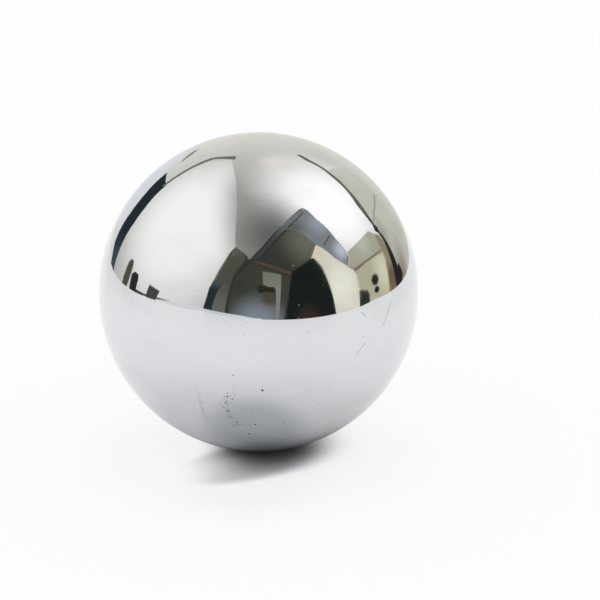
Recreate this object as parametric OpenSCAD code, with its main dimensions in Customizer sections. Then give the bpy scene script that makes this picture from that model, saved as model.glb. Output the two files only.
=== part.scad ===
// Steel ball: one solid of hardened steel, ground and lapped to a mirror finish.
// Millimetres, +Z up, with the origin at the ball's centre.

/* [Ball] */
// Diameter of the ball
ball_d = 100; // [10:1:150]

/* [Hidden] */
$fn = 180;

// The whole ball. It is a true sphere, with no flat, seam, hole or parting line.
module ball() {
    color("silver")
        sphere(d = ball_d);
}

ball();
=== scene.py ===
"""Steel ball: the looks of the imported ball, and the plain studio that it is shown in.

Metres, +Z up, with the origin at the ball's centre. A place on the ball or in the studio is given as a
bearing and a height in degrees, both seen from the ball's centre: bearing 0 is straight towards the camera
and grows to the right, and height 0 is level with the centre and 90 straight up.
"""

import math
import random
from typing import NamedTuple

import bmesh
import bpy
from bpy.props import FloatProperty, FloatVectorProperty, IntProperty, PointerProperty
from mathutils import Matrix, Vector, kdtree


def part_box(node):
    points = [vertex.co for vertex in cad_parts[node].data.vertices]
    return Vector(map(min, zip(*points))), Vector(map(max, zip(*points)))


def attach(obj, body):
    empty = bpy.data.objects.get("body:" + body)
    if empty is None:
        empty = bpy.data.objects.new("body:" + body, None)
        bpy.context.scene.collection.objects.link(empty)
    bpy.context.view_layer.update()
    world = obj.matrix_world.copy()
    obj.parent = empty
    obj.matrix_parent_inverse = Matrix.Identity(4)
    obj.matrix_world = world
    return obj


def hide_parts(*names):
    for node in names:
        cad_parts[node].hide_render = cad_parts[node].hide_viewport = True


bl_info = {
    "name": "Steel Ball",
    "version": (1, 0, 0),
    "blender": (4, 5, 0),
    "location": "3D View > Sidebar > Steel Ball",
    "description": "A mirror-lapped steel ball with its pits and scratches, and a plain studio round it",
    "category": "Object",
}

MILLIMETRE = 0.001

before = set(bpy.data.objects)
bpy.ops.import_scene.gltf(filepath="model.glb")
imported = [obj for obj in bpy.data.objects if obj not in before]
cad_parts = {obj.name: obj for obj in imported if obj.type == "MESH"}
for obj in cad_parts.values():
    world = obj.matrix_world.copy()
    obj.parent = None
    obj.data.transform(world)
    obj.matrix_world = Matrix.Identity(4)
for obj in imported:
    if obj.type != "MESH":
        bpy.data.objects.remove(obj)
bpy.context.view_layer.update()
CAD_LOWEST, CAD_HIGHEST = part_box("ball")


def towards(bearing, height):
    """The unit vector from the ball's centre at that bearing and height, in degrees."""
    turn, rise = math.radians(bearing), math.radians(height)
    return Vector((math.sin(turn) * math.cos(rise), -math.cos(turn) * math.cos(rise), math.sin(rise)))


# ---------------------------------------------------------------------------------------------------------
# Marks on the ball
# ---------------------------------------------------------------------------------------------------------


class Pit(NamedTuple):
    """A small corrosion pit: where it is, in degrees, and how wide it is across, in millimetres."""

    bearing: float
    height: float
    width: float


class Scratch(NamedTuple):
    """A scratch: the (bearing, height) places it runs through, in degrees, and its width in millimetres."""

    path: tuple
    width: float


class Mark(NamedTuple):
    """One round place where metal is missing. Its edge is BOWL or GROOVE."""

    place: Vector
    reach: float
    depth: float
    edge: float


# A mark's depth falls off by this power of the distance from its middle.
BOWL = 2
GROOVE = 1

PITS = (
    Pit(-11, 5, 0.28),
    Pit(-6, 4, 0.22),
    Pit(-5, 1, 0.25),
    Pit(-9, -14, 0.45),
    Pit(1, -20, 0.75),
    Pit(-12, -23, 0.6),
    Pit(-10, -24, 0.5),
    Pit(-3, -30, 0.4),
    Pit(-3, -32, 0.3),
    Pit(-7, -38, 0.35),
    Pit(-2, -37, 0.6),
    Pit(-5, -43, 0.7),
    Pit(10, -36, 0.5),
    Pit(23, -28, 0.4),
    Pit(22, -30, 0.3),
    Pit(39, -35, 0.4),
    Pit(16, 1, 0.28),
    Pit(38, -4, 0.28),
)

# In millimetres, for every scratch.
SCRATCH_WIDTH = 0.16

SCRATCHES = (
    Scratch(((37, 5), (39, 3)), SCRATCH_WIDTH),
    Scratch(((52, 6), (49, 1), (47, -2)), SCRATCH_WIDTH),
    Scratch(((39, -6), (35, -10)), SCRATCH_WIDTH),
)

# A scratch is cut by round marks that stand this share of their reach apart.
SCRATCH_STEP = 0.25

# The run of fine pits low on the front: the places that it winds through, the spread of its pits about that
# line, in degrees, and the least and greatest width of a pit, in millimetres.
PIT_RUN = ((-11, -23), (-13, -26), (-13, -29), (-12, -32), (-11, -35), (-9, -39))
RUN_SPREAD = 0.7
RUN_WIDTHS = (0.22, 0.48)

# Marks on the back: the bearings that they lie between, the sine of their greatest height, the least and
# greatest width of a pit, in millimetres, and how far a scratch turns and rises at most, in degrees.
BACK_BEARINGS = (95, 265)
BACK_RISE = 0.9
BACK_WIDTHS = (0.3, 0.8)
BACK_SCRATCH_TURN = 6
BACK_SCRATCH_RISE = 5


# ---------------------------------------------------------------------------------------------------------
# Settings
# ---------------------------------------------------------------------------------------------------------


class BallSettings(bpy.types.PropertyGroup):
    """Size of the ball and of the marks on it."""

    diameter: FloatProperty(
        name="Diameter",
        description="Diameter of the ball, as in the packed part",
        default=CAD_HIGHEST.z - CAD_LOWEST.z,
        min=0.01,
        unit="LENGTH",
    )
    cells: IntProperty(
        name="Cells",
        description="Mesh cells along a quarter turn of the ball",
        default=72,
        min=8,
    )
    halvings: IntProperty(
        name="Halvings",
        description="How many times the cells round a mark are halved",
        default=5,
        min=0,
        max=6,
    )
    pit_depth: FloatProperty(
        name="Pit depth",
        description="Depth of a pit as a share of its width",
        default=0.22,
        min=0.0,
        max=0.5,
    )
    scratch_depth: FloatProperty(
        name="Scratch depth",
        description="Depth of a scratch as a share of its width",
        default=0.25,
        min=0.0,
        max=0.5,
    )
    run_pits: IntProperty(
        name="Pits in the run",
        description="Number of fine pits in the winding run low on the front",
        default=60,
        min=0,
    )
    back_pits: IntProperty(
        name="Pits on the back",
        description="Number of pits scattered over the back half",
        default=30,
        min=0,
    )
    back_scratches: IntProperty(
        name="Scratches on the back",
        description="Number of short scratches scattered over the back half",
        default=7,
        min=0,
    )
    seed: IntProperty(
        name="Seed",
        description="Seed of the scattered marks",
        default=4,
    )


class SteelSettings(bpy.types.PropertyGroup):
    """Finish of the lapped steel."""

    steel: FloatVectorProperty(
        name="Steel",
        description="Colour of the clean lapped steel",
        default=(0.74, 0.75, 0.77),
        subtype="COLOR",
        min=0.0,
        max=1.0,
    )
    haze: FloatVectorProperty(
        name="Haze",
        description="Colour where wiping has left a faint film",
        default=(0.67, 0.68, 0.70),
        subtype="COLOR",
        min=0.0,
        max=1.0,
    )
    stain: FloatVectorProperty(
        name="Stain",
        description="Colour of the old grey water stain",
        default=(0.47, 0.47, 0.47),
        subtype="COLOR",
        min=0.0,
        max=1.0,
    )
    pitted: FloatVectorProperty(
        name="Pitted",
        description="Colour of the dull metal inside a pit",
        default=(0.16, 0.15, 0.15),
        subtype="COLOR",
        min=0.0,
        max=1.0,
    )
    dust: FloatVectorProperty(
        name="Dust",
        description="Colour of the specks of dust",
        default=(0.80, 0.80, 0.78),
        subtype="COLOR",
        min=0.0,
        max=1.0,
    )
    polish: FloatProperty(
        name="Polish",
        description="Roughness of the clean lapped steel",
        default=0.02,
        min=0.0,
        max=1.0,
        subtype="FACTOR",
    )
    wiped: FloatProperty(
        name="Wiped",
        description="Roughness where wiping has left a faint film",
        default=0.07,
        min=0.0,
        max=1.0,
        subtype="FACTOR",
    )
    dull: FloatProperty(
        name="Dull",
        description="Roughness inside a pit and of a speck of dust",
        default=0.55,
        min=0.0,
        max=1.0,
        subtype="FACTOR",
    )


class StudioSettings(bpy.types.PropertyGroup):
    """Camera, floor and light of the studio."""

    camera_distance: FloatProperty(
        name="Camera distance",
        description="From the ball's centre to the camera",
        default=0.55,
        min=0.1,
        unit="LENGTH",
    )
    camera_height: FloatProperty(
        name="Camera height",
        description="How high the camera stands, as an angle at the ball's centre",
        default=math.radians(15),
        subtype="ANGLE",
    )
    lens: FloatProperty(
        name="Lens",
        description="Focal length on a sensor 36 mm wide",
        default=105.0,
        min=10.0,
        unit="CAMERA",
    )
    pan: FloatProperty(
        name="Pan",
        description="How far the camera turns to the right of the ball's centre",
        default=math.radians(1.39),
        subtype="ANGLE",
    )
    tilt: FloatProperty(
        name="Tilt",
        description="How far the camera dips below the ball's centre",
        default=math.radians(0.27),
        subtype="ANGLE",
    )
    floor: FloatVectorProperty(
        name="Floor",
        description="Colour of the floor",
        default=(0.95, 0.95, 0.955),
        subtype="COLOR",
        min=0.0,
        max=1.0,
    )
    # Painted shade: the floor's colour goes to this close under the ball, where the ball shuts out the sky.
    shade: FloatVectorProperty(
        name="Shade",
        description="Colour that the floor deepens to close under the ball",
        default=(0.100, 0.108, 0.122),
        subtype="COLOR",
        min=0.0,
        max=1.0,
    )
    backdrop: FloatVectorProperty(
        name="Backdrop",
        description="White that the floor goes to away from the ball",
        default=(0.985, 0.985, 0.99),
        subtype="COLOR",
        min=0.0,
        max=1.0,
    )
    fill: FloatProperty(
        name="Fill",
        description="Strength of the even light from all round",
        default=0.96,
        min=0.0,
    )
    key: FloatProperty(
        name="Key",
        description="Strength of the key lamp",
        default=0.30,
        min=0.0,
    )


# ---------------------------------------------------------------------------------------------------------
# Ball
# ---------------------------------------------------------------------------------------------------------


def marks_along(scratch, settings):
    """The round marks that together cut one scratch."""
    width = scratch.width * MILLIMETRE
    reach = width / 2
    radius = settings.diameter / 2
    marks = []
    for start, end in zip(scratch.path, scratch.path[1:]):
        first, last = towards(*start), towards(*end)
        steps = math.ceil(first.angle(last) * radius / (reach * SCRATCH_STEP))
        for step in range(steps + 1):
            place = first.slerp(last, step / steps)
            marks.append(Mark(place, reach, width * settings.scratch_depth, GROOVE))
    return marks


def mark_of(pit, settings):
    """The bowl that one pit makes."""
    width = pit.width * MILLIMETRE
    return Mark(towards(pit.bearing, pit.height), width / 2, width * settings.pit_depth, BOWL)


def pits_in_run(settings, chance):
    """Fine pits strewn evenly along the winding run."""
    pits = []
    for _ in range(settings.run_pits):
        along = chance.uniform(0, len(PIT_RUN) - 1)
        before = min(int(along), len(PIT_RUN) - 2)
        share = along - before
        bearing, height = (
            near + (far - near) * share + chance.gauss(0, RUN_SPREAD)
            for near, far in zip(PIT_RUN[before], PIT_RUN[before + 1])
        )
        pits.append(Pit(bearing, height, chance.uniform(*RUN_WIDTHS)))
    return pits


def place_behind(chance):
    """A random (bearing, height) on the back half of the ball."""
    bearing = chance.uniform(*BACK_BEARINGS)
    return bearing, math.degrees(math.asin(chance.uniform(-BACK_RISE, BACK_RISE)))


def marks_behind(settings, chance):
    """Pits and short scratches scattered over the back half."""
    marks = []
    for _ in range(settings.back_pits):
        bearing, height = place_behind(chance)
        marks.append(mark_of(Pit(bearing, height, chance.uniform(*BACK_WIDTHS)), settings))
    for _ in range(settings.back_scratches):
        bearing, height = place_behind(chance)
        end = (
            bearing + chance.uniform(-BACK_SCRATCH_TURN, BACK_SCRATCH_TURN),
            height + chance.uniform(-BACK_SCRATCH_RISE, BACK_SCRATCH_RISE),
        )
        marks.extend(marks_along(Scratch(((bearing, height), end), SCRATCH_WIDTH), settings))
    return marks


def all_marks(settings):
    """Every mark on the ball."""
    chance = random.Random(settings.seed)
    marks = [mark_of(pit, settings) for pit in PITS]
    marks.extend(mark_of(pit, settings) for pit in pits_in_run(settings, chance))
    for scratch in SCRATCHES:
        marks.extend(marks_along(scratch, settings))
    marks.extend(marks_behind(settings, chance))
    return marks


def make_sphere(cells, radius):
    """A sphere of even quads: a gridded cube pushed out, its grid spaced by equal angles."""
    bm = bmesh.new()
    bmesh.ops.create_cube(bm, size=2)
    bmesh.ops.subdivide_edges(bm, edges=bm.edges[:], cuts=cells - 1, use_grid_fill=True)
    for vert in bm.verts:
        vert.co = Vector([math.tan(side * math.pi / 4) for side in vert.co]).normalized() * radius
    return bm


def halve_cells(bm, marks, tree, reach, cell, radius):
    """Halves each cell whose middle lies within a cell of a mark, and puts new corners on the sphere."""
    edges = set()
    for face in bm.faces:
        nearby = tree.find_range(face.calc_center_median(), reach + cell)
        if any(distance < marks[index].reach + cell for _, index, distance in nearby):
            edges.update(face.edges)
    bmesh.ops.subdivide_edges(bm, edges=list(edges), cuts=1, use_grid_fill=True)
    for vert in bm.verts:
        vert.co = vert.co.normalized() * radius


def depth_at(place, marks, tree, reach):
    """How deep the deepest mark is at that place."""
    depth = 0.0
    for _, index, distance in tree.find_range(place, reach):
        mark = marks[index]
        depth = max(depth, mark.depth * (1 - (distance / mark.reach) ** mark.edge))
    return depth


def make_ball_mesh(settings):
    """The ball's mesh. Its normals are exactly radial away from the marks, so that it mirrors truly."""
    radius = settings.diameter / 2
    marks = all_marks(settings)
    reach = max(mark.reach for mark in marks)
    tree = kdtree.KDTree(len(marks))
    for index, mark in enumerate(marks):
        tree.insert(mark.place * radius, index)
    tree.balance()

    bm = make_sphere(settings.cells, radius)
    cell = radius * math.pi / 2 / settings.cells
    for _ in range(settings.halvings):
        halve_cells(bm, marks, tree, reach, cell, radius)
        cell /= 2

    pitting = bm.verts.layers.float.new("pitting")
    for vert in bm.verts:
        depth = depth_at(vert.co, marks, tree, reach)
        vert[pitting] = depth / (reach * settings.pit_depth)
        vert.co = vert.co.normalized() * (radius - depth)
    bm.normal_update()
    normals = []
    for vert in bm.verts:
        marked = any(edge.other_vert(vert)[pitting] > 0 for edge in vert.link_edges)
        normals.append(vert.normal.copy() if marked or vert[pitting] > 0 else vert.co.normalized())

    mesh = bpy.data.meshes.new("ball")
    bm.to_mesh(mesh)
    bm.free()
    mesh.shade_smooth()
    mesh.normals_split_custom_set_from_vertices(normals)
    return mesh


# ---------------------------------------------------------------------------------------------------------
# Materials
# ---------------------------------------------------------------------------------------------------------


class NodeSheet:
    """A material's or group's nodes, with short ways to add one and join it."""

    def __init__(self, tree):
        self.tree = tree
        self.tree.nodes.clear()

    def add(self, kind, inputs=None, **options):
        """Adds a node, sets its options, and fills its sockets: a socket is joined, and a value is set."""
        node = self.tree.nodes.new(kind)
        for name, value in options.items():
            setattr(node, name, value)
        for name, value in (inputs or {}).items():
            if isinstance(value, bpy.types.NodeSocket):
                self.tree.links.new(value, node.inputs[name])
            else:
                node.inputs[name].default_value = value
        return node

    def math(self, operation, *values):
        """A Math node's result."""
        inputs = dict(enumerate(values))
        return self.add("ShaderNodeMath", inputs, operation=operation).outputs[0]

    def dot(self, vector, direction):
        """The dot product of a vector socket and a fixed direction."""
        node = self.add("ShaderNodeVectorMath", {0: vector, 1: direction}, operation="DOT_PRODUCT")
        return node.outputs["Value"]

    def ramp(self, value, low, high, start=0.0, end=1.0):
        """Turns low to high into start to end, eased at both ends."""
        inputs = {"Value": value, "From Min": low, "From Max": high, "To Min": start, "To Max": end}
        node = self.add("ShaderNodeMapRange", inputs, interpolation_type="SMOOTHSTEP")
        return node.outputs["Result"]

    def noise(self, vector, scale, detail=2.0, roughness=0.5, distortion=0.0):
        """Noise from 0 to 1."""
        inputs = {
            "Vector": vector,
            "Scale": scale,
            "Detail": detail,
            "Roughness": roughness,
            "Distortion": distortion,
        }
        return self.add("ShaderNodeTexNoise", inputs).outputs["Fac"]

    def blend(self, share, first, second, kind="MIX"):
        """A colour between two colours, or the first multiplied by the second where kind is MULTIPLY."""
        # A Mix node has sockets of the same names for each type of data, so its colours go by number.
        inputs = {0: share, 6: first, 7: second}
        return self.add("ShaderNodeMix", inputs, data_type="RGBA", blend_type=kind).outputs[2]


def opaque(colour):
    """A colour with full alpha."""
    return (*colour, 1.0)


def new_material(name):
    """An empty material and the sheet of its nodes."""
    material = bpy.data.materials.new(name)
    material.use_nodes = True
    return material, NodeSheet(material.node_tree)


class Streak(NamedTuple):
    """An old water streak down the front: its bearing in degrees, the heights of its foot and its head
    above the ball's centre in metres, and how much of the stain's colour it has."""

    bearing: float
    foot: float
    head: float
    strength: float


# The water stain, left of the middle, and a fainter streak beside it.
STAIN = Streak(-23, -0.0285, -0.018, 0.6)
FAINT_STREAK = Streak(-9, -0.0185, -0.014, 0.2)

# How a streak fades out, in metres: how far from its middle line it is still full and is gone, over what
# length below its foot, and over what lengths below and above its head. The last length keeps it off the
# back: it is gone where the surface is level with the ball's centre, and whole that far in front of it.
STREAK_SIDES = (0.0001, 0.0010)
STREAK_FOOT_FADE = 0.003
STREAK_HEAD_FADE = (0.006, 0.004)
STREAK_FRONT_FADE = 0.01

# Noise breaks a streak up: its scale, where on the noise the streak is thin and full, and how thin it is.
STREAK_NOISE = 160.0
STREAK_NOISE_LIMITS = (0.35, 0.65)
STREAK_THIN = 0.3

# The film from wiping: the scale of its smears, how they are turned, in radians, and drawn out, and where
# on the noise they begin and are full.
SMEAR_SCALE = 26.0
SMEAR_TURN = (0.5, 0.3, 0.9)
SMEAR_STRETCH = (1, 1, 2.6)
SMEAR_LIMITS = (0.45, 0.75)

# Dust: the scale of its cells, the lots from which a cell holds a faint speck and a full one, and how far
# from a cell's middle a speck's core and its rim are, in cells.
DUST_SCALE = 700.0
DUST_LOTS = (0.87, 0.88)
DUST_SPECK = (0.04, 0.09)

# The depths to which the metal stays clean and from which it is quite dull, as shares of half the depth of
# the widest pit.
PITTED_DEPTHS = (0.02, 0.35)


def streak_mask(sheet, place, streak):
    """A mask for one streak."""
    turn = math.radians(streak.bearing)
    across = sheet.math("ABSOLUTE", sheet.dot(place, (math.cos(turn), math.sin(turn), 0)))
    height = sheet.add("ShaderNodeSeparateXYZ", {"Vector": place}).outputs["Z"]
    frontness = sheet.dot(place, towards(streak.bearing, 0))
    breaks = sheet.noise(place, STREAK_NOISE, detail=3.0)
    below, above = STREAK_HEAD_FADE
    mask = sheet.ramp(across, *STREAK_SIDES, streak.strength, 0.0)
    for limit in (
        sheet.ramp(height, streak.foot - STREAK_FOOT_FADE, streak.foot),
        sheet.ramp(height, streak.head - below, streak.head + above, 1.0, 0.0),
        sheet.ramp(frontness, 0.0, STREAK_FRONT_FADE),
        sheet.ramp(breaks, *STREAK_NOISE_LIMITS, STREAK_THIN, 1.0),
    ):
        mask = sheet.math("MULTIPLY", mask, limit)
    return mask


def polished_steel(settings):
    """Lapped steel: a clean mirror with a faint film, a water stain, specks of dust and dull pits."""
    material, sheet = new_material("polished_steel")
    place = sheet.add("ShaderNodeTexCoord").outputs["Object"]

    # Wiping leaves broad, slightly drawn-out smears that hardly dull the mirror.
    inputs = {"Vector": place, "Rotation": SMEAR_TURN, "Scale": SMEAR_STRETCH}
    drawn_out = sheet.add("ShaderNodeMapping", inputs).outputs["Vector"]
    smears = sheet.noise(drawn_out, SMEAR_SCALE, detail=4.0, roughness=0.6, distortion=0.6)
    film = sheet.ramp(smears, *SMEAR_LIMITS)

    stain = streak_mask(sheet, place, STAIN)
    stain = sheet.math("MAXIMUM", stain, streak_mask(sheet, place, FAINT_STREAK))

    # Each speck of dust is the middle of a cell of a Voronoi pattern, in the few cells chosen at random.
    specks = sheet.add("ShaderNodeTexVoronoi", {"Vector": place, "Scale": DUST_SCALE, "Randomness": 1.0})
    lot = sheet.add("ShaderNodeSeparateXYZ", {"Vector": specks.outputs["Color"]}).outputs["X"]
    chosen = sheet.ramp(lot, *DUST_LOTS)
    small = sheet.ramp(specks.outputs["Distance"], *DUST_SPECK, 1.0, 0.0)
    dust = sheet.math("MULTIPLY", chosen, small)

    pitting = sheet.add("ShaderNodeAttribute", attribute_name="pitting").outputs["Fac"]
    pitted = sheet.ramp(pitting, *PITTED_DEPTHS)

    colour = sheet.blend(film, opaque(settings.steel), opaque(settings.haze))
    colour = sheet.blend(stain, colour, opaque(settings.stain))
    colour = sheet.blend(pitted, colour, opaque(settings.pitted))
    colour = sheet.blend(dust, colour, opaque(settings.dust))
    roughness = sheet.ramp(film, 0.0, 1.0, settings.polish, settings.wiped)
    for mask in (pitted, dust):
        inputs = {"Factor": mask, "A": roughness, "B": settings.dull}
        roughness = sheet.add("ShaderNodeMix", inputs, data_type="FLOAT").outputs[0]
    metallic = sheet.math("SUBTRACT", 1.0, dust)

    inputs = {"Base Color": colour, "Metallic": metallic, "Roughness": roughness}
    shader = sheet.add("ShaderNodeBsdfPrincipled", inputs)
    sheet.add("ShaderNodeOutputMaterial", {"Surface": shader.outputs["BSDF"]})
    return material


# ---------------------------------------------------------------------------------------------------------
# Studio
# ---------------------------------------------------------------------------------------------------------


class Pool(NamedTuple):
    """A soft pool of light or shade on a card: its middle and its reach in degrees, and its colour."""

    bearing: float
    height: float
    core: float
    reach: float
    colour: tuple


class Card(NamedTuple):
    """A plain card that only the ball's mirror shows: its corners, as (bearing, height), and colours. It
    glows with the painted light and shade of the part of the room that it stands for.
    """

    name: str
    layer: int
    corners: tuple
    colour: tuple
    pools: tuple = ()


OVAL_CORNERS = 16


def oval_corners(bearing, height, half_width, half_height):
    """The corners of an oval card round that middle. All is in degrees."""
    turns = [math.tau * corner / OVAL_CORNERS for corner in range(OVAL_CORNERS)]
    return tuple(
        (bearing + half_width * math.cos(turn), height + half_height * math.sin(turn)) for turn in turns
    )


# The dome's distance from the ball's centre in metres, the height of its foot in degrees, and its mesh.
DOME_DISTANCE = 6.0
DOME_FOOT = -9
DOME_SEGMENTS = 48
DOME_RINGS = 40

# How much nearer each layer of cards is, in metres, and how often each edge of a card's triangles is cut.
LAYER_STEP = 0.12
CARD_CUTS = 11

# The dome closes the studio overhead and all round. It glows with painted light and shade: a pale pool low
# behind, a bright pool for the softbox, a small warm one high behind and a dark one high in front. It has
# no corners of its own.
DOME = Card(
    "dome",
    0,
    (),
    (0.43, 0.43, 0.385),
    (
        Pool(-172, 14, 8, 84, (0.83, 0.82, 0.75)),
        Pool(101, 51, 13, 52, (1.33, 1.32, 1.28)),
        Pool(163, 59, 0, 11, (0.97, 0.91, 0.83)),
        Pool(14, 53, 0, 39, (0.155, 0.165, 0.152)),
    ),
)
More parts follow.
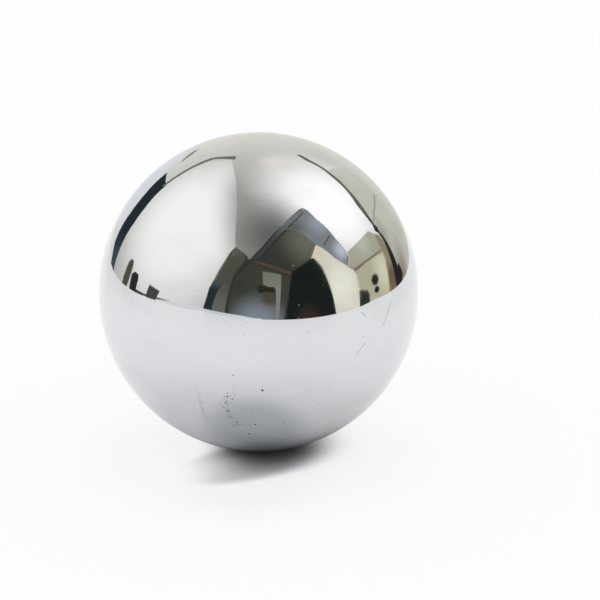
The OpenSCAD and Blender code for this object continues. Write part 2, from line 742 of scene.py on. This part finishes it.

# Cards of a higher layer stand nearer to the ball, and hide the lower ones. Each card glows with the
# painted light and shade of the part of the room that it stands for, its pools as painted pools of light
# and shade.
CARDS = (
    # Behind, at the left: a white sweep that rises past the bench, and a thin rod above it.
    Card(
        "white_sweep",
        1,
        ((-148, 21), (-155, 19), (-162, 16), (-167, 13), (-172, 5), (-176, -6), (-131, -6), (-139, 7)),
        (0.82, 0.84, 0.87),
    ),
    Card(
        "thin_rod",
        2,
        ((-158, 23), (-163, 21), (-167, 17), (-166, 16), (-162, 19), (-158, 22)),
        (0.28, 0.28, 0.26),
    ),
    # Left: a tall pale panel, framed by a grey trim above and a navy flag behind. The panel's first pool is
    #     painted light, and its second painted shade that deepens towards its right edge.
    Card(
        "pale_panel",
        2,
        (
            (-130, -6), (-132, 8), (-135, 20), (-140, 29), (-151, 40), (-162, 53),
            (-153, 65), (-135, 74), (-98, 78), (-61, 76), (-36, 67), (-27, 56),
            (-22, 45), (-27, 31), (-33, 15), (-35, -6), (-60, -6), (-95, -6),
        ),
        (0.425, 0.425, 0.375),
        (
            Pool(-79, 46, 19, 83, (1.18, 1.18, 1.13)),
            Pool(68, 40, 48, 78, (0.30, 0.30, 0.27)),
        ),
    ),
    Card(
        "grey_trim",
        4,
        (
            (-138, 30), (-143, 36), (-150, 41), (-157, 44), (-160, 49), (-164, 54),
            (-167, 50), (-162, 46), (-158, 41), (-151, 38), (-145, 34), (-140, 28),
        ),
        (0.20, 0.20, 0.17),
    ),
    Card(
        "navy_flag",
        3,
        (
            (-138, 31), (-153, 21), (-149, 18), (-146, 16), (-144, 13), (-143, 10),
            (-143, 5), (-142, 1), (-138, -1), (-134, -6), (-127, -6), (-129, -1),
            (-129, 4), (-129, 10), (-129, 16), (-131, 22), (-135, 27),
        ),
        (0.022, 0.032, 0.040),
        (Pool(-133, -2, 0, 12, (0.065, 0.085, 0.110)),),
    ),
    # Front: an olive wedge beside the pale panel, with a dark right edge and a navy strip at its left.
    Card(
        "olive_wedge",
        3,
        (
            (-22, 45), (-12, 41), (-8, 37), (-13, 30), (-17, 25), (-19, 18),
            (-21, 6), (-22, -6), (-39, -6), (-39, 1), (-37, 9), (-36, 15),
            (-33, 22), (-31, 28), (-28, 35), (-26, 40),
        ),
        (0.100, 0.098, 0.078),
        (
            Pool(-28, 0, 0, 22, (0.165, 0.170, 0.135)),
            Pool(-20, 43, 0, 7, (0.135, 0.135, 0.110)),
        ),
    ),
    Card(
        "dark_edge",
        4,
        (
            (-12, 41), (-8, 37), (-13, 30), (-17, 25), (-19, 18), (-21, 6),
            (-22, -6), (-24, -6), (-23, 6), (-21, 18), (-19, 26), (-14, 33),
            (-11, 37),
        ),
        (0.045, 0.047, 0.036),
    ),
    Card(
        "navy_strip",
        4,
        (
            (-33, 22), (-27, 18), (-30, 13), (-32, 6), (-34, -6), (-40, -6),
            (-39, 1), (-37, 9), (-36, 15),
        ),
        (0.026, 0.036, 0.042),
        (Pool(-30, 20, 0, 7, (0.08, 0.10, 0.11)),),
    ),
    # Front: a dark slanting panel, with a grey band and a blue one along its upper edge, and before it an
    # olive panel with a pale edge and a copper bar at its foot.
    Card(
        "front_panel",
        2,
        (
            (70, 62), (60, 62), (42, 61), (31, 59.5), (19, 56), (3, 46),
            (-8, 37), (-11, 37), (-24, 20), (-30, -8), (14, -8), (60, -8),
            (76, -8), (75, 27), (73, 37), (73, 45), (72, 55),
        ),
        (0.042, 0.044, 0.036),
    ),
    Card(
        "grey_band",
        3,
        (
            (74, 63), (69, 64), (61, 64), (42, 62.5), (31, 59.5), (19, 55),
            (4, 45), (-6, 37), (0, 38), (15, 49), (34, 57), (42, 59),
            (52, 60), (67, 61),
        ),
        (0.066, 0.070, 0.062),
        (Pool(62, 62, 4, 30, (0.21, 0.23, 0.23)),),
    ),
    Card(
        "blue_band",
        4,
        (
            (36, 56.5), (43, 58.5), (53, 59.5), (67, 60.5), (74, 63), (75, 60),
            (73, 53), (74, 45), (74, 37), (76, 27), (71, 20), (61, 29),
            (55, 38), (51, 44), (46, 51),
        ),
        (0.255, 0.280, 0.290),
        (
            Pool(40, 56, 0, 12, (0.13, 0.15, 0.14)),
            Pool(70, 50, 0, 11, (0.38, 0.44, 0.48)),
            Pool(72, 30, 0, 9, (0.64, 0.69, 0.76)),
        ),
    ),
    Card(
        "olive_panel",
        3,
        ((2, 37), (16, 48), (35, 56), (47, 51), (52, 44), (54, 39), (44, 33), (25, 27)),
        (0.054, 0.054, 0.043),
        (Pool(48, 44, 0, 26, (0.185, 0.182, 0.145)),),
    ),
    Card(
        "band_joint",
        5,
        ((71, 41), (66, 40), (60, 38), (60, 37), (66, 39), (71, 40)),
        (0.11, 0.12, 0.13),
    ),
    Card(
        "olive_edge",
        4,
        (
            (28, 56), (36, 57), (43, 54), (48, 50), (52, 45), (54, 40),
            (53, 40), (51, 45), (47, 49), (42, 53), (36, 56),
        ),
        (0.21, 0.20, 0.155),
    ),
    Card(
        "copper_bar",
        4,
        ((-6, 36), (1, 36), (13, 32), (25, 27), (24, 25), (12, 30), (0, 34)),
        (0.125, 0.085, 0.058),
    ),
    # Front, low down: a panel that pales towards its foot, with a small card, a block and an upright
    # before it, and a large dark flag beside it.
    Card(
        "low_panel",
        4,
        ((-7, 35), (0, 33), (12, 29), (24, 24), (19, 6), (16, -8), (-21, -8), (-21, 6), (-17, 25)),
        (0.062, 0.064, 0.050),
        (
            Pool(-1, -8, 6, 26, (0.255, 0.295, 0.325)),
            Pool(-14, 19, 0, 10, (0.050, 0.052, 0.045)),
            Pool(7, 11, 2, 8, (0.090, 0.074, 0.052)),
        ),
    ),
    Card("small_card", 5, ((3, 29), (17, 26), (16, 18), (10, 17), (3, 20)), (0.24, 0.245, 0.20)),
    Card(
        "dark_block",
        6,
        ((0, 20), (5, 18), (11, 18), (11, 14), (5, 15), (0, 14), (-1, 17)),
        (0.03, 0.03, 0.02),
    ),
    Card("upright", 5, ((12, 19), (16, 19), (15, 11), (13, -6), (11, -6), (12, 11)), (0.27, 0.27, 0.25)),
    Card(
        "dark_flag",
        6,
        ((26, 27), (46, 33), (50, 26), (52, 14), (55, -8), (18, -8), (20, 6), (23, 20)),
        (0.014, 0.018, 0.017),
        (Pool(34, -4, 0, 12, (0.050, 0.030, 0.022)),),
    ),
    # Right: a cream panel, and beyond it a grey-green one above a second cream one, with a brown trim
    # between them. Two round flags and a tan strip stand before these.
    Card(
        "cream_panel",
        5,
        ((53, 40), (57, 37), (64, 27), (72, 19), (76, 16), (75, -8), (50, -8), (48, 14), (44, 33)),
        (0.90, 0.87, 0.71),
        (
            Pool(62, 12, 4, 18, (1.08, 1.06, 0.87)),
            Pool(53, 36, 0, 9, (0.90, 0.77, 0.58)),
        ),
    ),
    Card(
        "green_grey_panel",
        5,
        (
            (77, 27), (93, 27), (107, 25), (112, 20), (112, 17), (110, 14),
            (98, 15.5), (88, 16.5), (76, 17), (71, 20),
        ),
        (0.50, 0.50, 0.375),
        (Pool(94, 26, 0, 12, (0.62, 0.62, 0.50)),),
    ),
    Card(
        "far_cream_panel",
        5,
        ((76, 17), (88, 16.5), (98, 15.5), (110, 14), (110, 8), (112, -8), (75, -8)),
        (0.60, 0.56, 0.40),
        (Pool(102, 7, 2, 14, (0.84, 0.81, 0.60)),),
    ),
    Card(
        "brown_trim",
        6,
        ((75, 17), (88, 17), (98, 16), (109, 14), (109, 13), (98, 15), (88, 16), (75, 15)),
        (0.22, 0.18, 0.11),
    ),
    Card("round_flag", 6, oval_corners(91.5, 5.5, 3.8, 2.8), (0.02, 0.02, 0.018)),
    Card("small_round_flag", 6, oval_corners(91.5, 0.5, 2.6, 1.6), (0.02, 0.02, 0.018)),
    Card(
        "tan_strip",
        6,
        ((111, 21), (115, 18), (116, 12), (116, -8), (104, -8), (106, 0), (107, 6), (109, 10), (109, 17)),
        (0.36, 0.32, 0.20),
        (Pool(111, 0, 2, 9, (0.20, 0.14, 0.10)),),
    ),
    # Right, further back: a beige panel with a seam, and the long black arm that leans over it.
    Card(
        "beige_panel",
        6,
        (
            (116, 26), (121, 32), (134, 37), (146, 38), (153, 24), (150, 12),
            (142, 7), (138, 3), (137, -8), (116, -8), (116, 10),
        ),
        (0.66, 0.65, 0.56),
        (
            Pool(152, 30, 2, 16, (0.72, 0.71, 0.63)),
            Pool(121, 16, 0, 9, (0.48, 0.47, 0.38)),
            Pool(127, -4, 0, 16, (0.34, 0.29, 0.20)),
        ),
    ),
    Card(
        "seam",
        7,
        (
            (150, 12), (144, 16), (137, 19), (128, 22), (119, 23), (119, 22),
            (128, 21), (137, 18), (144, 15),
        ),
        (0.44, 0.43, 0.36),
    ),
    Card(
        "black_arm",
        8,
        (
            (162, 42), (155, 44), (147, 42), (139, 41), (129, 37), (120, 33),
            (117, 28), (116, 23), (114, 21), (116, 18), (116, 13), (115, 9),
            (114, -1), (114, -8), (122, -8), (120, 0), (119, 6), (119, 15),
            (118, 18), (119, 20), (118, 22), (120, 26), (124, 30), (131, 35),
            (140, 38), (148, 40), (155, 41), (161, 40),
        ),
        (0.025, 0.025, 0.023),
        (Pool(146, 42, 22, 36, (0.16, 0.16, 0.145)),),
    ),
    Card(
        "arm_foot",
        8,
        ((117, 3), (120, 1), (123, 2), (125, -1), (126, -3), (123, -5), (114, -5), (114, 0)),
        (0.030, 0.026, 0.022),
    ),
    # A pale strip that shows along the bench's far edge, left of the middle.
    Card(
        "low_sweep",
        6,
        (
            (-64, 1), (-57, 2), (-46, 2), (-37, 1), (-26, 0), (-12, -1.5),
            (-4, -3), (2, -3.5), (2, -5), (-64, -5),
        ),
        (0.82, 0.83, 0.85),
        (Pool(-28, 0, 4, 14, (0.73, 0.74, 0.76)),),
    ),
    # Small flags that show over the bench's far edge, and the dark line at their feet.
    Card(
        "dark_line",
        4,
        ((-98, 0), (-88, 0), (-77, 1), (-64, 2), (-64, 1), (-77, 0), (-88, -1), (-98, -3)),
        (0.07, 0.07, 0.06),
        (Pool(-60, 1, 0, 18, (0.85, 0.85, 0.81)),),
    ),
    Card(
        "low_flag_1",
        5,
        ((-111, 8), (-109, 10), (-106, 10), (-105, 8), (-105, 5), (-106, 1), (-108, -3), (-114, -3)),
        (0.095, 0.095, 0.070),
    ),
    Card(
        "low_flag_2",
        5,
        ((-104, 5), (-101, 7), (-97, 7), (-96, 5), (-97, 3), (-97, -3), (-104, -3)),
        (0.028, 0.030, 0.030),
    ),
    Card("low_flag_3", 5, ((-84, 6), (-74, 5), (-77, 3), (-78, -3), (-87, -3)), (0.075, 0.075, 0.070)),
    Card(
        "low_flag_4",
        6,
        ((75, 4), (79, 4), (79, 3), (82, 3), (84, 0), (83, -6), (74, -6)),
        (0.035, 0.040, 0.034),
    ),
)


def light_pool_group():
    """A soft round pool on a card: 1 inside Core and 0 past Reach, both angles at the ball's centre."""
    group = bpy.data.node_groups.new("light_pool", "ShaderNodeTree")
    sheet = NodeSheet(group)
    group.interface.new_socket("Middle", in_out="INPUT", socket_type="NodeSocketVector")
    for name in ("Core", "Reach"):
        group.interface.new_socket(name, in_out="INPUT", socket_type="NodeSocketFloat")
    group.interface.new_socket("Mask", in_out="OUTPUT", socket_type="NodeSocketFloat")
    given = sheet.add("NodeGroupInput").outputs
    place = sheet.add("ShaderNodeNewGeometry").outputs["Position"]
    direction = sheet.add("ShaderNodeVectorMath", {0: place}, operation="NORMALIZE").outputs["Vector"]
    inputs = {0: direction, 1: given["Middle"]}
    nearness = sheet.add("ShaderNodeVectorMath", inputs, operation="DOT_PRODUCT").outputs["Value"]
    angle = sheet.math("ARCCOSINE", nearness)
    mask = sheet.ramp(angle, given["Core"], given["Reach"], 1.0, 0.0)
    sheet.add("NodeGroupOutput", {"Mask": mask})
    return group


def card_material(card, pool_group):
    """Painted light and shade of a card: its own glowing colour, with its pools laid over it in order."""
    material, sheet = new_material(card.name)
    colour = opaque(card.colour)
    for pool in card.pools:
        inputs = {
            "Middle": towards(pool.bearing, pool.height),
            "Core": math.radians(pool.core),
            "Reach": math.radians(pool.reach),
        }
        mask = sheet.add("ShaderNodeGroup", inputs, node_tree=pool_group).outputs["Mask"]
        colour = sheet.blend(mask, colour, opaque(pool.colour))
    glow = sheet.add("ShaderNodeEmission", {"Color": colour, "Strength": 1.0})
    sheet.add("ShaderNodeOutputMaterial", {"Surface": glow.outputs["Emission"]})
    material.cycles.emission_sampling = "NONE"
    return material


def show_only_in_mirror(piece):
    """Only the ball's mirror sees this piece: it is in no view, lights nothing and shades nothing."""
    piece.visible_camera = False
    piece.visible_diffuse = False
    piece.visible_transmission = False
    piece.visible_volume_scatter = False
    piece.visible_shadow = False


def add_stage_piece(name, bm, material):
    """Links a mesh to the scene as part of the stage."""
    mesh = bpy.data.meshes.new(name)
    bm.to_mesh(mesh)
    bm.free()
    mesh.materials.append(material)
    piece = bpy.data.objects.new(name, mesh)
    bpy.context.scene.collection.objects.link(piece)
    return piece


def add_dome(pool_group):
    """Builds the dome that closes the studio, down to a little below the level of the bench top."""
    foot = math.sin(math.radians(DOME_FOOT)) * DOME_DISTANCE
    bm = bmesh.new()
    bmesh.ops.create_uvsphere(bm, u_segments=DOME_SEGMENTS, v_segments=DOME_RINGS, radius=DOME_DISTANCE)
    below = [vert for vert in bm.verts if vert.co.z < foot - MILLIMETRE]
    bmesh.ops.delete(bm, geom=below, context="VERTS")
    show_only_in_mirror(add_stage_piece(DOME.name, bm, card_material(DOME, pool_group)))


def add_card(card, pool_group):
    """Builds a card, bent so that every point of it is equally far from the ball."""
    distance = DOME_DISTANCE - card.layer * LAYER_STEP
    bm = bmesh.new()
    bm.faces.new([bm.verts.new(towards(*corner)) for corner in card.corners])
    bmesh.ops.triangulate(bm, faces=bm.faces[:])
    bmesh.ops.subdivide_edges(bm, edges=bm.edges[:], cuts=CARD_CUTS, use_grid_fill=True)
    for vert in bm.verts:
        vert.co = vert.co.normalized() * distance
    show_only_in_mirror(add_stage_piece(card.name, bm, card_material(card, pool_group)))


def seen_by_eye(sheet):
    """1 for rays that come from the camera, from a mirror or through glass, and 0 for the rest."""
    path = sheet.add("ShaderNodeLightPath").outputs
    seen = sheet.math("MAXIMUM", path["Is Camera Ray"], path["Is Glossy Ray"])
    return sheet.math("MAXIMUM", seen, path["Is Transmission Ray"])


# The sky over a place counts as open along a ray that meets nothing within this distance, in metres, and
# this many rays are tried.
SHADE_DISTANCE = 0.3
SHADE_SAMPLES = 40


class Oval(NamedTuple):
    """A soft oval on the floor: its middle and its half sizes in radii of the ball, how far it is turned
    in degrees, and the share of it that is full."""

    middle: tuple
    half_size: tuple
    turn: float
    core: float


# Painted shade under the ball reaches out towards the camera: in the first oval the floor's colour is
# multiplied by this tone, and in the second the sky counts as less open, by this factor, so less of it
# glows.
PAINTED_SHADE_OVAL = Oval((-0.05, -0.72), (0.58, 0.68), -21, 0.35)
PAINTED_SHADE_TONE = (0.68, 0.705, 0.72)
SHADED_OVAL = Oval((-0.17, -0.43), (0.84, 0.44), 30, 0.34)
SHADED_OPENNESS = 0.385

# Painted light thins the shade behind the ball, at the left. Across it, in this direction in degrees and
# between these places in radii of the ball, the sky goes from more open, by this factor, to plain.
PAINTED_LIGHT_DIRECTION = -38
PAINTED_LIGHT_PLACES = (-0.11, 0.305)
PAINTED_LIGHT_OPENNESS = 2.2

# A pale top has its own colour from this openness on, and the painted shade colour close under the ball at
# none.
OPEN_COLOUR = 0.45

# The floor is matt up to the first openness, and from the second on it glows as the backdrop by this share.
GLOW_OPENNESS = (0.06, 0.395)
GLOW_SHARE = 0.82

MATT_ROUGHNESS = 0.9
BENCH_GLOSS = {"Roughness": 0.35, "IOR": 1.04, "Specular IOR Level": 0.5}


def oval_mask(sheet, place, oval, radius):
    """1 in the oval's core, and 0 past its rim."""
    inputs = {
        "Vector": place,
        "Location": (*(radius * side for side in oval.middle), 0),
        "Rotation": (0, 0, math.radians(oval.turn)),
        "Scale": (*(radius * side for side in oval.half_size), 1),
    }
    local = sheet.add("ShaderNodeMapping", inputs, vector_type="TEXTURE").outputs["Vector"]
    inputs = {0: local, 1: (1, 1, 0)}
    flat = sheet.add("ShaderNodeVectorMath", inputs, operation="MULTIPLY").outputs["Vector"]
    reach = sheet.add("ShaderNodeVectorMath", {0: flat}, operation="LENGTH").outputs["Value"]
    return sheet.ramp(reach, oval.core, 1.0, 1.0, 0.0)


def contact_shade_group(radius):
    """A pale top's colour with painted shade close under the ball, and how much sky the ball leaves open
    over it.
    """
    group = bpy.data.node_groups.new("contact_shade", "ShaderNodeTree")
    sheet = NodeSheet(group)
    for name in ("Open", "Close"):
        group.interface.new_socket(name, in_out="INPUT", socket_type="NodeSocketColor")
    group.interface.new_socket("Color", in_out="OUTPUT", socket_type="NodeSocketColor")
    group.interface.new_socket("Openness", in_out="OUTPUT", socket_type="NodeSocketFloat")
    given = sheet.add("NodeGroupInput").outputs

    place = sheet.add("ShaderNodeNewGeometry").outputs["Position"]
    sky = sheet.add("ShaderNodeAmbientOcclusion", {"Distance": SHADE_DISTANCE}, samples=SHADE_SAMPLES)
    turn = math.radians(PAINTED_LIGHT_DIRECTION)
    across = sheet.dot(place, (math.cos(turn), math.sin(turn), 0))
    lit, plain = (radius * side for side in PAINTED_LIGHT_PLACES)
    painted_light = sheet.ramp(across, lit, plain, PAINTED_LIGHT_OPENNESS, 1.0)
    openness = sheet.math("MULTIPLY", sky.outputs["AO"], painted_light)

    # Painted shade: the colour deepens to Close where the ball shuts out the sky, and the oval in front
    # multiplies it by the tone.
    colour = sheet.blend(sheet.ramp(openness, 0.0, OPEN_COLOUR), given["Close"], given["Open"])
    colour = sheet.blend(oval_mask(sheet, place, PAINTED_SHADE_OVAL, radius), colour, opaque(PAINTED_SHADE_TONE), "MULTIPLY")
    # Painted shade in the floor's glow: in this oval the openness, and with it the white glow, is lowered.
    shaded = oval_mask(sheet, place, SHADED_OVAL, radius)
    openness = sheet.math("MULTIPLY", openness, sheet.ramp(shaded, 0.0, 1.0, 1.0, SHADED_OPENNESS))
    sheet.add("NodeGroupOutput", {"Color": colour, "Openness": openness})
    return group


def matt_surface(sheet, settings, shade_group):
    """The matt pale surface that the floor and the bench top share, with painted shade in its colour, and
    its openness to the sky.
    """
    inputs = {"Open": opaque(settings.floor), "Close": opaque(settings.shade)}
    shade = sheet.add("ShaderNodeGroup", inputs, node_tree=shade_group)
    inputs = {
        "Base Color": shade.outputs["Color"],
        "Roughness": MATT_ROUGHNESS,
        "Specular IOR Level": 0.0,
    }
    matt = sheet.add("ShaderNodeBsdfPrincipled", inputs)
    return matt, shade.outputs["Openness"]


def floor_material(settings, shade_group):
    """Plain pale floor that goes to white away from the ball, and keeps the shade under it: partly real
    shadow, partly painted shade in its colour and its glow.
    """
    material, sheet = new_material("floor")
    matt, openness = matt_surface(sheet, settings, shade_group)
    white = sheet.add("ShaderNodeEmission", {"Color": opaque(settings.backdrop), "Strength": 1.0})
    glow = sheet.ramp(openness, *GLOW_OPENNESS, 0.0, GLOW_SHARE)
    share = sheet.math("MULTIPLY", glow, seen_by_eye(sheet))
    inputs = {0: share, 1: matt.outputs["BSDF"], 2: white.outputs["Emission"]}
    surface = sheet.add("ShaderNodeMixShader", inputs)
    sheet.add("ShaderNodeOutputMaterial", {"Surface": surface.outputs["Shader"]})
    material.cycles.emission_sampling = "NONE"
    return material


def bench_material(settings, shade_group):
    """The bench top, which only the ball's mirror shows. It has a faint gloss at a low angle."""
    material, sheet = new_material("bench_top")
    matt, _ = matt_surface(sheet, settings, shade_group)
    for name, value in BENCH_GLOSS.items():
        matt.inputs[name].default_value = value
    sheet.add("ShaderNodeOutputMaterial", {"Surface": matt.outputs["BSDF"]})
    return material


# The floor is one triangle, so that no seam runs across it. Its corners are this far off, in metres.
FLOOR_REACH = 60.0

# The bench top lies this far above the floor, in metres.
BENCH_LIFT = 0.0001

# The bench top's corners, each as its bearing in degrees and its distance from the middle in metres.
BENCH_CORNERS = ((87, 0.89), (-176, 1.36), (-76, 4.2), (-40, 4.4))


def add_floor(settings, radius):
    """The floor that every view shows, out to a great distance, and the bench top that the ball mirrors."""
    bm = bmesh.new()
    bmesh.ops.create_circle(bm, cap_ends=True, segments=3, radius=FLOOR_REACH)
    bmesh.ops.translate(bm, verts=bm.verts[:], vec=(0, 0, -radius))
    shade_group = contact_shade_group(radius)
    floor = add_stage_piece("floor", bm, floor_material(settings, shade_group))
    floor.visible_glossy = False

    # The bench top ends close by at the front and the right, and far off at the left.
    lift = Vector((0, 0, BENCH_LIFT - radius))
    bm = bmesh.new()
    corners = [towards(bearing, 0) * distance + lift for bearing, distance in BENCH_CORNERS]
    bm.faces.new([bm.verts.new(corner) for corner in corners])
    bmesh.ops.recalc_face_normals(bm, faces=bm.faces[:])
    show_only_in_mirror(add_stage_piece("bench_top", bm, bench_material(settings, shade_group)))


# The key lamp stands far off at this bearing and height, and is this wide, all in degrees.
KEY_BEARING = 165
KEY_HEIGHT = 66
KEY_SPREAD = 40


def add_key_lamp(settings):
    """The key lamp, which the ball doesn't mirror."""
    light = bpy.data.lights.new("key", "SUN")
    light.energy = settings.key
    light.angle = math.radians(KEY_SPREAD)
    lamp = bpy.data.objects.new("key", light)
    lamp.rotation_euler = towards(KEY_BEARING, KEY_HEIGHT).to_track_quat("Z", "Y").to_euler()
    lamp.visible_glossy = False
    bpy.context.scene.collection.objects.link(lamp)


def set_world(settings):
    """White to the camera and to mirrors, and an even fill for everything else."""
    world = bpy.data.worlds.new("studio")
    world.use_nodes = True
    sheet = NodeSheet(world.node_tree)
    inputs = {"Factor": seen_by_eye(sheet), "A": settings.fill, "B": 1.0}
    strength = sheet.add("ShaderNodeMix", inputs, data_type="FLOAT").outputs[0]
    background = sheet.add("ShaderNodeBackground", {"Color": (1, 1, 1, 1), "Strength": strength})
    sheet.add("ShaderNodeOutputWorld", {"Surface": background.outputs["Background"]})
    bpy.context.scene.world = world


# In millimetres, as the lens is.
SENSOR_WIDTH = 36.0


def add_camera(settings):
    """The camera in front of the ball, a little above it."""
    data = bpy.data.cameras.new("camera")
    data.sensor_width = SENSOR_WIDTH
    data.lens = settings.lens
    camera = bpy.data.objects.new("camera", data)
    camera.location = towards(0, math.degrees(settings.camera_height)) * settings.camera_distance
    dip = settings.camera_height + settings.tilt
    camera.rotation_euler = (math.pi / 2 - dip, 0, -settings.pan)
    bpy.context.scene.collection.objects.link(camera)
    bpy.context.scene.camera = camera


# ---------------------------------------------------------------------------------------------------------
# Operators, panel and start
# ---------------------------------------------------------------------------------------------------------


class STEELBALL_OT_ball(bpy.types.Operator):
    """Build the ball with its pits, scratches and polished finish"""

    bl_idname = "steel_ball.ball"
    bl_label = "Build ball"

    def execute(self, context):
        mesh = make_ball_mesh(context.scene.ball)
        mesh.materials.append(polished_steel(context.scene.steel))
        ball = bpy.data.objects.new("mirror_ball", mesh)
        context.scene.collection.objects.link(ball)
        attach(ball, "root")
        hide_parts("ball")
        return {"FINISHED"}


class STEELBALL_OT_stage(bpy.types.Operator):
    """Build the floor, the dome, the cards, the key lamp, the world and the camera"""

    bl_idname = "steel_ball.stage"
    bl_label = "Build stage"

    def execute(self, context):
        settings = context.scene.studio
        add_floor(settings, context.scene.ball.diameter / 2)
        pool_group = light_pool_group()
        add_dome(pool_group)
        for card in CARDS:
            add_card(card, pool_group)
        add_key_lamp(settings)
        set_world(settings)
        add_camera(settings)
        context.scene.view_settings.view_transform = "Standard"
        return {"FINISHED"}


class STEELBALL_PT_panel(bpy.types.Panel):
    """Lists the ball's and the studio's settings and operators"""

    bl_idname = "STEELBALL_PT_panel"
    bl_label = "Steel Ball"
    bl_space_type = "VIEW_3D"
    bl_region_type = "UI"
    bl_category = "Steel Ball"

    def draw(self, context):
        for operator, groups in (
            (STEELBALL_OT_ball, (context.scene.ball, context.scene.steel)),
            (STEELBALL_OT_stage, (context.scene.studio,)),
        ):
            box = self.layout.box()
            for group in groups:
                for name in group.__annotations__:
                    box.prop(group, name)
            box.operator(operator.bl_idname)


CLASSES = (
    BallSettings,
    SteelSettings,
    StudioSettings,
    STEELBALL_OT_ball,
    STEELBALL_OT_stage,
    STEELBALL_PT_panel,
)


def register():
    for cls in CLASSES:
        bpy.utils.register_class(cls)
    bpy.types.Scene.ball = PointerProperty(type=BallSettings)
    bpy.types.Scene.steel = PointerProperty(type=SteelSettings)
    bpy.types.Scene.studio = PointerProperty(type=StudioSettings)


def unregister():
    del bpy.types.Scene.studio
    del bpy.types.Scene.steel
    del bpy.types.Scene.ball
    for cls in reversed(CLASSES):
        bpy.utils.unregister_class(cls)


def main():
    register()
    bpy.ops.steel_ball.ball()
    bpy.ops.steel_ball.stage()


if __name__ == "__main__":
    main()
